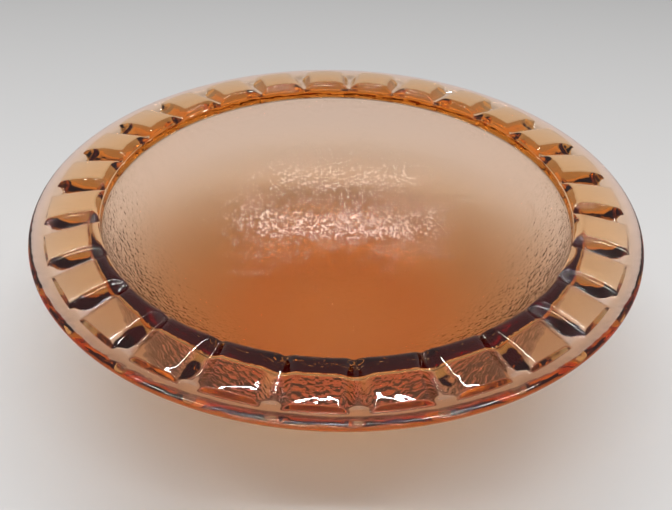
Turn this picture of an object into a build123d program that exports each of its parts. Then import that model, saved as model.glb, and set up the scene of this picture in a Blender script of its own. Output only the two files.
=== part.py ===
from build123d import *
import math
import os

# Art glass bowl: a thick foot, a deep hammered well and a wide rim of raised wedge-shaped blocks.
# Units are millimetres. +Z is up and the origin is the centre of the foot's underside.

# Overall size
RIM_RADIUS = 180.0

# Rim plate, the flat collar that carries the blocks
PLATE_BOTTOM = 94.0
PLATE_TOP = 98.5
LIP_WIDTH = 9.0
LIP_TOP = 100.5
LIP_ROUNDING_WIDTH = 1.5
LIP_EDGE_BOTTOM = 97.0  # the lip's underside slopes up to here

# Foot and well
FOOT_FLAT_RADIUS = 44.0  # where the underside starts to lift off the table
FOOT_HEIGHT = 5.0
FLOOR_RADIUS = 36.0
FLOOR_HEIGHT = 17.0
MOUTH_RADIUS = 140.0
SHELL_TOP_RADIUS = 146.0
WELL_TOP_SLOPE = 83.0  # degrees from level, at the top of the well's inside
SHELL_TOP_SLOPE = 82.0  # degrees from level, at the top of the well's outside

# Mouth ring
RING_OUTER_RADIUS = 144.0
RING_TOP = 103.0
RING_ROUNDING = 1.5

# Blocks
BLOCKS_AROUND = 27
FIRST_BLOCK_ANGLE = -79.3  # degrees from +X
BLOCK_SECTION = ((144.0, 98.5), (144.0, 104.8), (147.0, 106.4), (158.0, 105.6), (168.0, 103.6), (171.0, 98.5))
GROOVE_FALL = 0.21  # drop of the line between two blocks, per millimetre outwards
GROOVE_SIDE = 1.05  # rise of a block's side, per millimetre across

PITCH = 360.0 / BLOCKS_AROUND


def slope(degrees):
    """A unit direction in the section plane, rising outwards."""
    angle = math.radians(degrees)
    return (math.cos(angle), math.sin(angle))


def shell():
    """The foot and the well together: a thick floor thinning into a steep round wall."""
    with BuildSketch(Plane.XZ) as section:
        with BuildLine():
            Line((0, 0), (FOOT_FLAT_RADIUS, 0))
            Spline(
                (FOOT_FLAT_RADIUS, 0),
                (SHELL_TOP_RADIUS, PLATE_BOTTOM),
                tangents=(slope(0), slope(SHELL_TOP_SLOPE)),
            )
            Line((SHELL_TOP_RADIUS, PLATE_BOTTOM), (MOUTH_RADIUS, PLATE_BOTTOM))
            Spline(
                (FLOOR_RADIUS, FLOOR_HEIGHT),
                (MOUTH_RADIUS, PLATE_BOTTOM),
                tangents=(slope(0), slope(WELL_TOP_SLOPE)),
            )
            Line((FLOOR_RADIUS, FLOOR_HEIGHT), (0, FLOOR_HEIGHT))
            Line((0, FLOOR_HEIGHT), (0, 0))
        make_face()
    return revolve(section.sketch, Axis.Z)


def foot():
    """The round pad that the bowl stands on."""
    return split(shell(), Plane.XY.offset(FOOT_HEIGHT), keep=Keep.BOTTOM)


def well():
    """The bowl itself, from the top of the foot to the underside of the rim."""
    return split(shell(), Plane.XY.offset(FOOT_HEIGHT), keep=Keep.TOP)


def ring(inner_radius, outer_radius, bottom, top):
    """A plain round ring."""
    height = top - bottom
    blank = Cylinder(outer_radius, height, align=(Align.CENTER, Align.CENTER, Align.MIN))
    bore = Cylinder(inner_radius, height, align=(Align.CENTER, Align.CENTER, Align.MIN))
    return Pos(0, 0, bottom) * (blank - bore)


def mouth_ring():
    """The upright ring round the well's mouth, rounded over at its inner edge."""
    blank = ring(MOUTH_RADIUS, RING_OUTER_RADIUS, PLATE_BOTTOM, RING_TOP)
    inner_edge = blank.edges().group_by(Axis.Z)[-1].sort_by(SortBy.LENGTH)[0]
    return fillet(inner_edge, RING_ROUNDING)


def rim_plate():
    """The flat collar of glass under the blocks."""
    return ring(RING_OUTER_RADIUS, RIM_RADIUS - LIP_WIDTH, PLATE_BOTTOM, PLATE_TOP)


def lip():
    """The outermost edge of the rim, sloping up underneath to a rounded edge."""
    inner = RIM_RADIUS - LIP_WIDTH
    straight = RIM_RADIUS - LIP_ROUNDING_WIDTH
    middle = (LIP_EDGE_BOTTOM + LIP_TOP) / 2
    with BuildSketch(Plane.XZ) as section:
        with BuildLine():
            Line((inner, PLATE_BOTTOM), (straight, LIP_EDGE_BOTTOM))
            ThreePointArc((straight, LIP_EDGE_BOTTOM), (RIM_RADIUS, middle), (straight, LIP_TOP))
            Line((straight, LIP_TOP), (inner, LIP_TOP))
            Line((inner, LIP_TOP), (inner, PLATE_BOTTOM))
        make_face()
    return revolve(section.sketch, Axis.Z)


def side_cut(hand):
    """The glass to take away beside a block that lies along +X, on its left or its right side."""
    start, end = MOUTH_RADIUS, RIM_RADIUS + 20
    reach, cap = 40.0, 130.0
    sections = []
    for radius in (start, end):
        edge = RING_TOP - (radius - MOUTH_RADIUS) * GROOVE_FALL
        across = (cap - edge) / GROOVE_SIDE
        with BuildSketch(Plane(origin=(radius, 0, 0), x_dir=(0, 1, 0), z_dir=(1, 0, 0))) as section:
            with BuildLine():
                Polyline((0, edge), (-across, cap), (reach, cap), (reach, 0), (0, 0), close=True)
            make_face()
        sections.append(section.sketch)
    left = Rot(0, 0, PITCH / 2) * loft(sections)
    return left if hand > 0 else mirror(left, about=Plane.XZ)


def block():
    """One raised block lying along +X, between two V grooves that widen outwards."""
    with BuildSketch(Plane.XZ) as section:
        with BuildLine():
            Polyline(*BLOCK_SECTION, close=True)
        make_face()
    sector = Rot(0, 0, -PITCH / 2) * revolve(section.sketch, Axis.Z, revolution_arc=PITCH)
    return (sector - side_cut(1) - side_cut(-1)).solid()


def rim_blocks():
    """The ring of separate blocks, all alike and evenly spaced."""
    first = block()
    copies = [Rot(0, 0, FIRST_BLOCK_ANGLE + i * PITCH) * first for i in range(BLOCKS_AROUND)]
    return Compound(children=copies)


os.makedirs("parts", exist_ok=True)
export_step(foot(), "parts/foot.step")
export_step(well(), "parts/well.step")
export_step(mouth_ring(), "parts/mouth_ring.step")
export_step(rim_plate(), "parts/rim_plate.step")
export_step(lip(), "parts/lip.step")
export_step(rim_blocks(), "parts/rim_blocks.step")
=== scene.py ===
import math

import bpy
import numpy as np
from mathutils import Matrix, Vector


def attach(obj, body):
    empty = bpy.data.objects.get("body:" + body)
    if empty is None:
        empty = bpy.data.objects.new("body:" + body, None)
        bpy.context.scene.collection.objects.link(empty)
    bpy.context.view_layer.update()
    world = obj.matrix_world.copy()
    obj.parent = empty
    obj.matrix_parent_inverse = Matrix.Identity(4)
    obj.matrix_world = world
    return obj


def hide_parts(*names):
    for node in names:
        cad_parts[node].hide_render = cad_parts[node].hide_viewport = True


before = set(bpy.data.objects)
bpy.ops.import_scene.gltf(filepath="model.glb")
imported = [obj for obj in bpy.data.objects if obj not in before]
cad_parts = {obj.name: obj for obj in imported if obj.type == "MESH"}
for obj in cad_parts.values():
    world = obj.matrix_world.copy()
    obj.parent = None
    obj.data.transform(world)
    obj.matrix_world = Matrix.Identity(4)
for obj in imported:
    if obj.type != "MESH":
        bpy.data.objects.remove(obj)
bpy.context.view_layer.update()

# The bowl's sizes, in metres. They follow the CAD nodes.
RIM_RADIUS = 0.180
PLATE_BOTTOM = 0.0940
FOOT_RADIUS = 0.044
FLOOR_RADIUS = 0.036
FLOOR_HEIGHT = 0.017
MOUTH_RADIUS = 0.1400
MOUTH_HEIGHT = 0.1030
MOUTH_ROUNDING = 0.0015
MOUTH_BAND = 0.006  # rows that are stretched upwards to meet the rim's top
SHELL_TOP_RADIUS = 0.146
WELL_TOP_SLOPE = 83  # degrees from level
SHELL_TOP_SLOPE = 82  # degrees from level
AXIS_GAP = 0.0008  # radius of the first ring round the axis

# The rim's outer edge
LIP_TOP = 0.1005
LIP_WIDEST = 0.0985  # height where the rim is widest
LIP_FALL = 0.1765  # radius where the top starts to round over
LIP_ROUNDING = 0.0009
LIP_TURN = 68  # degrees that the edge turns under before the straight bevel
BEVEL_INNER = 0.1718  # radius where the bevel meets the plate's underside
FLAT_HEIGHT = 0.0985  # the flat ground between the blocks and the lip
FLAT_INNER = 0.1660
FLAT_RISE = 0.6

# The blocks, with V grooves between them that fall and widen outwards
BLOCKS = 27
PITCH = 2 * math.pi / BLOCKS
FIRST_BLOCK = math.radians(-79.3)
GROOVE_FALL = 0.21
GROOVE_SIDE = 1.05
GROOVE_ROUNDING = 0.0012
CREST_RADIUS = 0.1500
CREST_HEIGHT = 0.1065
CREST_DOME = 0.120  # radius of the slight dome on each block
CREST_TILT = 0.08
INNER_STEP = 0.0005
INNER_RISE = 1.0
BLOCK_END = 0.1700
BLOCK_END_HEIGHT = 0.002
BLOCK_END_SLOPE = 1.2
BLOCK_SOFTNESS = 0.0009
STEPS_PER_BLOCK = 64

# The two strip lights
STRIP_HEIGHT = 3.0
STRIP_FRONT_Y = -1.06
STRIP_BACK_Y = 0.71

# The painted highlights: emission paints the well's facets bright where they would mirror a strip light. Each
# band of directions has its middle and half its width as Y over Z, and half its length as X over Z. The last one
# is for the long back strip's ends.
PAINTED_GLINTS = (
    (STRIP_FRONT_Y / STRIP_HEIGHT, 0.022, 0.62),
    (STRIP_BACK_Y / STRIP_HEIGHT, 0.035, 0.50),
    (0.20, 0.020, 0.66),
)
PAINTED_GLINT_STRENGTH = 0.32
FACETS_PER_METRE = 800.0
FACET_TILT = 0.14

# The studio floor, a hair below the foot so that the two faces never coincide
FLOOR_SIZE = 12
FLOOR_GAP = 0.0004

# The camera
CAMERA_PLACE = (0, -0.4075, 0.3727)
CAMERA_PITCH = math.radians(37.92)
CAMERA_ROLL = math.radians(1.36)
CAMERA_LENS = 43.0


def direction(degrees):
    """A unit direction in the section plane, at this slope."""
    return np.array([math.cos(math.radians(degrees)), math.sin(math.radians(degrees))])


def hermite(start, end, start_slope, end_slope, count):
    """A smooth curve between two (radius, height) points, leaving and arriving at these slopes."""
    start, end = np.array(start), np.array(end)
    chord = np.linalg.norm(end - start)
    a, b = direction(start_slope) * chord, direction(end_slope) * chord
    t = np.linspace(0, 1, count)[:, None]
    return (
        start * (2 * t**3 - 3 * t**2 + 1)
        + a * (t**3 - 2 * t**2 + t)
        + end * (3 * t**2 - 2 * t**3)
        + b * (t**3 - t**2)
    )


def arc(centre, radius, start, end, count):
    """Points on a circular arc between two angles in degrees."""
    angles = np.radians(np.linspace(start, end, count))
    return np.array(centre) + radius * np.stack([np.cos(angles), np.sin(angles)], 1)


def line(start, end, count):
    """Evenly spaced points from one (radius, height) point to another."""
    t = np.linspace(0, 1, count)[:, None]
    return np.array(start) * (1 - t) + np.array(end) * t


def rim_top_line():
    """The rim's upper side, with rows closer together where it rounds over at the edge."""
    flat = line((MOUTH_RADIUS, LIP_TOP), (LIP_FALL, LIP_TOP), 70)
    turn = np.sin(np.linspace(0, math.pi / 2, 16))[:, None]
    edge = np.array([LIP_FALL, LIP_TOP]) + turn * [RIM_RADIUS - LIP_FALL, 0]
    return np.concatenate([flat, edge])


def section():
    """Rows of (radius, height, region) from the middle of the floor, over the rim, to the middle of the foot."""
    mouth = (MOUTH_RADIUS, PLATE_BOTTOM)
    shell_top = (SHELL_TOP_RADIUS, PLATE_BOTTOM)
    edge_centre = (RIM_RADIUS - LIP_ROUNDING, LIP_WIDEST)
    curves = (
        ("floor", line((AXIS_GAP, FLOOR_HEIGHT), (FLOOR_RADIUS, FLOOR_HEIGHT), 8)),
        ("wall", hermite((FLOOR_RADIUS, FLOOR_HEIGHT), mouth, 0, WELL_TOP_SLOPE, 50)),
        ("mouth", line(mouth, (MOUTH_RADIUS, PLATE_BOTTOM + MOUTH_BAND), 9)),
        ("rim_top", rim_top_line()),
        ("lip", arc(edge_centre, LIP_ROUNDING, 0, -LIP_TURN, 7)),
        ("outside", line((BEVEL_INNER, PLATE_BOTTOM), shell_top, 12)),
        ("outside", hermite((FOOT_RADIUS, 0), shell_top, 0, SHELL_TOP_SLOPE, 60)[::-1]),
        ("foot", line((FOOT_RADIUS, 0), (AXIS_GAP, 0), 8)),
    )
    rows = []
    for region, points in curves:
        for point in points:
            if rows and math.dist(rows[-1][:2], point) < 1e-6:
                continue
            rows.append((float(point[0]), float(point[1]), region))
    return rows


def soft_min(values, softness):
    """The least of several values, rounded where two are near each other."""
    stack = np.stack(np.broadcast_arrays(*values))
    least = stack.min(0)
    return least - softness * np.log(np.exp(-(stack - least) / softness).sum(0))


def block_height(radius, angles):
    """The height of a domed block and of the grooves beside it, for each angle round the axis."""
    around = (angles - FIRST_BLOCK + PITCH / 2) % PITCH - PITCH / 2
    x, y = radius * np.cos(around) - CREST_RADIUS, radius * np.sin(around)
    crest = CREST_HEIGHT - x * CREST_TILT - (x**2 + y**2) / (2 * CREST_DOME)
    groove = MOUTH_HEIGHT - (radius - MOUTH_RADIUS) * GROOVE_FALL
    across = radius * np.sin(PITCH / 2 - np.abs(around))
    side = groove + GROOVE_SIDE * (np.sqrt(across**2 + GROOVE_ROUNDING**2) - GROOVE_ROUNDING)
    step = MOUTH_HEIGHT + INNER_STEP + (radius - MOUTH_RADIUS) * INNER_RISE
    return soft_min([side, crest, np.full_like(crest, step)], BLOCK_SOFTNESS)


def rim_height(radius, angles):
    """The height of the rim's upper surface at a radius, for each angle round the axis."""
    flat = min(FLAT_HEIGHT + max(radius - FLAT_INNER, 0) * FLAT_RISE, LIP_TOP)
    height = np.maximum(block_height(radius, angles), flat)
    near = np.clip((radius - MOUTH_RADIUS) / MOUTH_ROUNDING, 0, 1)
    height = height - MOUTH_ROUNDING * (1 - math.sqrt(1 - (1 - near) ** 2))
    if radius > BLOCK_END:
        end = LIP_TOP + BLOCK_END_HEIGHT - (radius - BLOCK_END) * BLOCK_END_SLOPE
        height = np.maximum(np.minimum(height, end), LIP_TOP)
    out = np.clip((radius - LIP_FALL) / (RIM_RADIUS - LIP_FALL), 0, 1)
    return LIP_WIDEST + (height - LIP_WIDEST) * math.sqrt(1 - out**2)


def ring_height(radius, height, region, angles):
    """The height of one row of the section, for each angle round the axis."""
    if region == "rim_top":
        return rim_height(radius, angles)
    if region == "mouth":
        share = (height - PLATE_BOTTOM) / MOUTH_BAND
        return PLATE_BOTTOM + (rim_height(radius, angles) - PLATE_BOTTOM) * share
    return np.full(len(angles), height)


def bowl_mesh():
    """One closed skin, made by turning the section round the axis with the blocks along its rim."""
    rows = section()
    columns = BLOCKS * STEPS_PER_BLOCK
    angles = np.arange(columns) * 2 * math.pi / columns
    points, hammer = [], []
    for radius, height, region in rows:
        z = ring_height(radius, height, region, angles)
        points.append(np.stack([radius * np.cos(angles), radius * np.sin(angles), z], 1))
        hammer.append(np.full(columns, float(region in ("floor", "wall"))))
    vertices = np.concatenate(points + [np.array([[0, 0, FLOOR_HEIGHT], [0, 0, 0]])])
    weights = np.concatenate(hammer + [np.array([1.0, 0.0])])
    index = np.arange(len(rows) * columns).reshape(len(rows), columns)
    after = np.roll(index, -1, axis=1)
    quads = np.stack([index[:-1], index[1:], after[1:], after[:-1]], -1).reshape(-1, 4)
    top, bottom = index.size, index.size + 1
    faces = [tuple(quad) for quad in quads.tolist()]
    faces += [(top, int(a), int(b)) for a, b in zip(index[0], after[0])]
    faces += [(bottom, int(b), int(a)) for a, b in zip(index[-1], after[-1])]
    mesh = bpy.data.meshes.new("bowl_glass")
    mesh.from_pydata(vertices.tolist(), [], faces)
    mask = mesh.attributes.new("hammer", "FLOAT", "POINT")
    mask.data.foreach_set("value", weights.astype(np.float32))
    mesh.validate()
    mesh.update()
    mesh.shade_smooth()
    return mesh


class Graph:
    """A new material and its nodes."""

    def __init__(self, name):
        self.material = bpy.data.materials.new(name)
        self.material.use_nodes = True
        self.tree = self.material.node_tree
        self.tree.nodes.clear()

    def add(self, kind, inputs=None, operation=None):
        """A node whose inputs are set to values or linked to other nodes' outputs."""
        node = self.tree.nodes.new("ShaderNode" + kind)
        if operation:
            node.operation = operation
        for key, value in (inputs or {}).items():
            if isinstance(value, bpy.types.NodeSocket):
                self.tree.links.new(value, node.inputs[key])
            else:
                node.inputs[key].default_value = value
        return node

    def number(self, operation, *values):
        return self.add("Math", dict(enumerate(values)), operation).outputs[0]

    def vector(self, operation, *values):
        return self.add("VectorMath", dict(enumerate(values)), operation).outputs[0]

    def scaled(self, vector, scale):
        return self.add("VectorMath", {0: vector, "Scale": scale}, "SCALE").outputs[0]


def facet_normal(graph, shape, place, mask):
    """The surface normal, tilted at random in each small facet of the well."""
    facets = graph.add("TexVoronoi", {"Vector": place, "Scale": FACETS_PER_METRE})
    tilt = graph.vector("SUBTRACT", facets.outputs["Color"], (0.5, 0.5, 0.5))
    tilt = graph.scaled(tilt, graph.number("MULTIPLY", mask, FACET_TILT))
    return graph.vector("ADD", shape.outputs["Normal"], tilt)


def painted_glints(graph, shape, normal, mask):
    """Painted highlights: how brightly emission paints each facet of the well where it would mirror one of the
    strip lights.
    """
    mirrored = graph.vector("REFLECT", shape.outputs["Incoming"], graph.vector("NORMALIZE", normal))
    parts = graph.add("SeparateXYZ", {0: mirrored})
    along = graph.number("DIVIDE", parts.outputs["X"], parts.outputs["Z"])
    across = graph.number("DIVIDE", parts.outputs["Y"], parts.outputs["Z"])
    total = 0.0
    for middle, half_width, half_length in PAINTED_GLINTS:
        near = graph.number("COMPARE", across, middle, half_width)
        within = graph.number("COMPARE", along, 0.0, half_length)
        total = graph.number("ADD", total, graph.number("MULTIPLY", near, within))
    upward = graph.number("LESS_THAN", parts.outputs["Z"], 0.0)
    outside = graph.number("SUBTRACT", 1.0, shape.outputs["Backfacing"])
    seen = graph.number("MULTIPLY", graph.number("MULTIPLY", upward, outside), mask)
    return graph.number("MULTIPLY", graph.number("MULTIPLY", total, seen), PAINTED_GLINT_STRENGTH)


def hammered_normal(graph, place, mask, normal):
    """Slow waves all over the glass, with fine ripples added in the well."""
    waves = graph.add("TexNoise", {"Vector": place, "Scale": 60.0, "Detail": 2.0})
    waved = {"Height": waves.outputs["Fac"], "Distance": 0.0010, "Strength": 0.5, "Normal": normal}
    ripples = graph.add("TexNoise", {"Vector": place, "Scale": 400.0, "Detail": 1.0})
    height = graph.number("MULTIPLY", ripples.outputs["Fac"], mask)
    waved_normal = graph.add("Bump", waved).outputs[0]
    rippled = {"Height": height, "Distance": 0.0008, "Strength": 1.0, "Normal": waved_normal}
    return graph.add("Bump", rippled).outputs[0]


def glass_volume(graph):
    """The tint of the glass, deeper where it is thick, with faint red emission: painted light that stands in for
    light trapped in the glass and shows most in its darkest parts.
    """
    tint = graph.add("VolumeAbsorption", {"Color": (0.975, 0.66, 0.03, 1), "Density": 85.0})
    # Painted light: red emission throughout the glass, standing in for light lost in trapped bounces.
    painted_glow = graph.add("Emission", {"Color": (1.0, 0.12, 0.30, 1), "Strength": 0.14})
    return graph.add("AddShader", {0: tint.outputs[0], 1: painted_glow.outputs[0]}).outputs[0]


def glass_material():
    """Clear peach glass, with a hammered surface where the mesh says so, and painted highlights on its facets.
    """
    graph = Graph("tinted_glass")
    place = graph.add("TexCoord").outputs["Object"]
    shape = graph.add("NewGeometry")
    attribute = graph.add("Attribute")
    attribute.attribute_name = "hammer"
    mask = attribute.outputs["Fac"]
    faceted = facet_normal(graph, shape, place, mask)
    surface = {
        "Base Color": (1.0, 0.88, 0.97, 1),
        "Transmission Weight": 1.0,
        "IOR": 1.5,
        "Roughness": 0.015,
        "Normal": hammered_normal(graph, place, mask, faceted),
        # The emission paints highlights where the hammered facets would mirror the strip lights.
        "Emission Color": (1.0, 0.96, 0.90, 1),
        "Emission Strength": painted_glints(graph, shape, faceted, mask),
    }
    glass = graph.add("BsdfPrincipled", surface)
    graph.add("OutputMaterial", {"Surface": glass.outputs[0], "Volume": glass_volume(graph)})
    graph.material.cycles.emission_sampling = "NONE"
    return graph.material


def floor_material():
    """Pale matt paint, with painted shade that darkens it towards the back."""
    graph = Graph("studio_floor")
    noise = graph.add("TexNoise", {"Scale": 3.0})
    ramp = graph.add("ValToRGB", {"Fac": noise.outputs["Fac"]})
    ramp.color_ramp.elements[0].color = (0.60, 0.60, 0.60, 1)
    ramp.color_ramp.elements[1].color = (0.64, 0.64, 0.64, 1)
    place = graph.add("SeparateXYZ", {0: graph.add("TexCoord").outputs["Object"]})
    # Painted shade: the colour falls to 0.60 of itself between 0.1 and 0.75 m towards the back, standing in for
    # the light's falloff.
    painted_falloff_range = {"Value": place.outputs["Y"], "From Min": 0.1, "From Max": 0.75, "To Min": 1.0, "To Max": 0.60}
    painted_falloff = graph.add("MapRange", painted_falloff_range)
    colour = graph.scaled(ramp.outputs["Color"], painted_falloff.outputs["Result"])
    paint = {"Base Color": colour, "Roughness": 0.7, "Specular IOR Level": 0.2}
    graph.add("OutputMaterial", {"Surface": graph.add("BsdfPrincipled", paint).outputs[0]})
    return graph.material


def build_bowl():
    bowl = bpy.data.objects.new("bowl_glass", bowl_mesh())
    bpy.context.scene.collection.objects.link(bowl)
    bowl.data.materials.append(glass_material())
    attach(bowl, "root")
    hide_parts("foot", "well", "mouth_ring", "rim_plate", "lip", "rim_blocks")


def build_stage():
    bpy.ops.mesh.primitive_plane_add(size=FLOOR_SIZE, location=(0, 0, -FLOOR_GAP))
    floor = bpy.context.object
    floor.name = "studio_floor"
    floor.data.materials.append(floor_material())


def strip_light(name, y, length, width, power):
    """A long narrow lamp across the studio, turned towards the bowl."""
    data = bpy.data.lights.new(name, "AREA")
    data.shape = "RECTANGLE"
    data.size = length
    data.size_y = width
    data.energy = power
    lamp = bpy.data.objects.new(name, data)
    bpy.context.scene.collection.objects.link(lamp)
    lamp.location = (0, y, STRIP_HEIGHT)
    lamp.rotation_euler = (-lamp.location).to_track_quat("-Z", "Y").to_euler()


def build_lights():
    world = bpy.data.worlds.new("studio")
    bpy.context.scene.world = world
    world.use_nodes = True
    background = world.node_tree.nodes["Background"]
    background.inputs["Color"].default_value = (1.0, 0.975, 0.96, 1)
    background.inputs["Strength"].default_value = 0.38
    strip_light("strip_front", STRIP_FRONT_Y, 3.4, 0.05, 34.0)
    strip_light("strip_back", STRIP_BACK_Y, 3.8, 0.07, 62.0)


def build_camera():
    data = bpy.data.cameras.new("camera")
    data.lens = CAMERA_LENS
    data.sensor_width = 36.0
    data.clip_start = 0.01
    camera = bpy.data.objects.new("camera", data)
    bpy.context.scene.collection.objects.link(camera)
    forward = Vector((0, math.cos(CAMERA_PITCH), -math.sin(CAMERA_PITCH)))
    right = Vector((1, 0, 0))
    up = right.cross(forward)
    rolled_right = right * math.cos(CAMERA_ROLL) + up * math.sin(CAMERA_ROLL)
    rolled_up = up * math.cos(CAMERA_ROLL) - right * math.sin(CAMERA_ROLL)
    axes = Matrix((rolled_right, rolled_up, -forward)).transposed()
    camera.matrix_world = Matrix.Translation(CAMERA_PLACE) @ axes.to_4x4()
    bpy.context.scene.camera = camera


build_bowl()
build_stage()
build_lights()
build_camera()
scene = bpy.context.scene
scene.view_settings.view_transform = "Standard"
scene.cycles.max_bounces = 24
scene.cycles.transmission_bounces = 24
